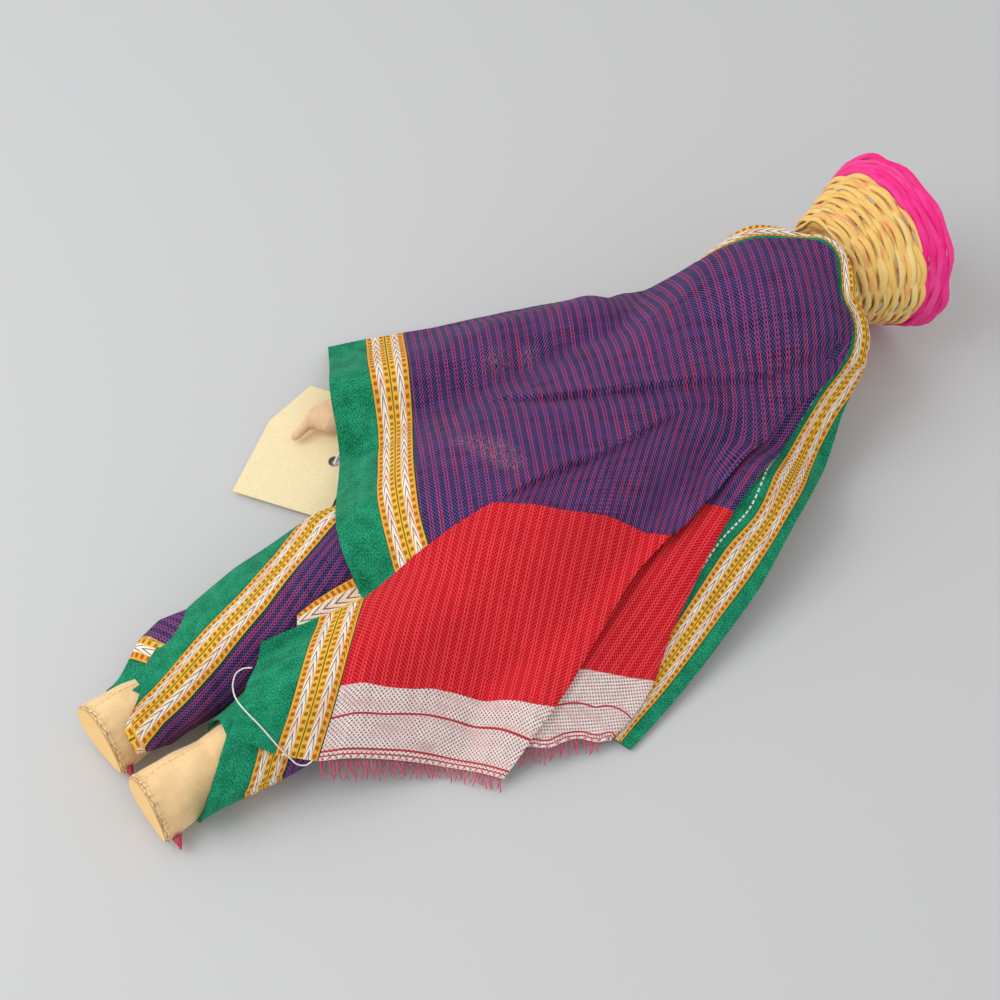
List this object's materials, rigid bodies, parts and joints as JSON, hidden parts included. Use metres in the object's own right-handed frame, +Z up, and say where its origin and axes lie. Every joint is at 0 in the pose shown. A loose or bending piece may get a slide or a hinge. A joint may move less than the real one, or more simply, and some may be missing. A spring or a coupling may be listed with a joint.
{
  "type": "cloth doll",
  "caption": "Stuffed cloth doll in a wrapped, bordered sari drawn over its head, lying face down, with a woven basket on its head, jointed neck, arms and legs, and a blank tag on its wrist.",
  "frame": {"origin": "middle of the box of the lying doll, on the surface that it lies on", "axes": "+X from the soles to the basket, +Y to the doll's left, +Z up from the surface, out of the doll's back"},
  "size_m": [0.2526, 0.144, 0.0518],
  "materials": {
    "muslin": "plain undyed cotton, matte",
    "skin": "peach cotton, matte",
    "stuffing": "cotton waste",
    "hair": "black yarn",
    "sari": "purple handloom cotton with fine pink stripes",
    "border": "green cotton with a gold woven tape",
    "blouse": "green cotton",
    "straw": "split straw, dry",
    "pink_straw": "split straw dyed magenta",
    "card": "cream card, matte",
    "sole": "cream cloth over card",
    "toe": "red cotton",
    "thread": "white cotton thread"
  },
  "bodies": {
    "torso": {"torso_skin": "muslin", "torso_stuffing": "stuffing", "sari_waist": "sari", "blouse": "blouse", "pallu": "sari"},
    "head": {"head_skin": "skin", "head_stuffing": "stuffing", "hair": "hair", "basket_base": "straw", "basket_stakes": "straw", "basket_wall": "straw", "basket_rim": "pink_straw"},
    "left_arm": {"left_arm": "skin", "left_arm_stuffing": "stuffing", "left_sleeve": "blouse", "left_hand": "skin", "tag_string": "thread"},
    "right_arm": {"right_arm": "skin", "right_arm_stuffing": "stuffing", "right_sleeve": "blouse", "right_hand": "skin"},
    "left_leg": {"left_leg": "muslin", "left_leg_stuffing": "stuffing", "left_leg_wrap": "border", "left_foot": "muslin", "left_sole": "sole", "left_toe_point": "toe"},
    "right_leg": {"right_leg": "muslin", "right_leg_stuffing": "stuffing", "right_leg_wrap": "border", "right_foot": "muslin", "right_sole": "sole", "right_toe_point": "toe", "loose_thread": "thread"},
    "tag": {"paper_tag": "card"}
  },
  "joints": [
    {"name": "neck", "type": "hinge", "parent": "torso", "child": "head", "pos_m": [0.05906, -0.009, 0.01822], "axis": [0, 0, 1], "range_deg": [-10, 10], "deforming": ["pallu"]},
    {"name": "left_shoulder", "type": "hinge", "parent": "torso", "child": "left_arm", "pos_m": [0.04106, 0.0224, 0.01522], "axis": [0, 0, 1], "range_deg": [-12, 8], "deforming": ["pallu"]},
    {"name": "right_shoulder", "type": "hinge", "parent": "torso", "child": "right_arm", "pos_m": [0.04106, -0.0404, 0.01522], "axis": [0, 0, 1], "range_deg": [0, 4], "deforming": ["pallu"]},
    {"name": "left_hip", "type": "hinge", "parent": "torso", "child": "left_leg", "pos_m": [-0.02394, 0.0036, 0.01272], "axis": [0, 0, 1], "range_deg": [-12, 0], "deforming": ["pallu"]},
    {"name": "right_hip", "type": "hinge", "parent": "torso", "child": "right_leg", "pos_m": [-0.02394, -0.0216, 0.01272], "axis": [0, 0, 1], "range_deg": [0, 10], "deforming": ["pallu"]},
    {"name": "tag_swing", "type": "hinge", "parent": "left_arm", "child": "tag", "pos_m": [-0.033, 0.03988, 0.00162], "axis": [0, 0, 1], "range_deg": [-15, 15]}
  ]
}
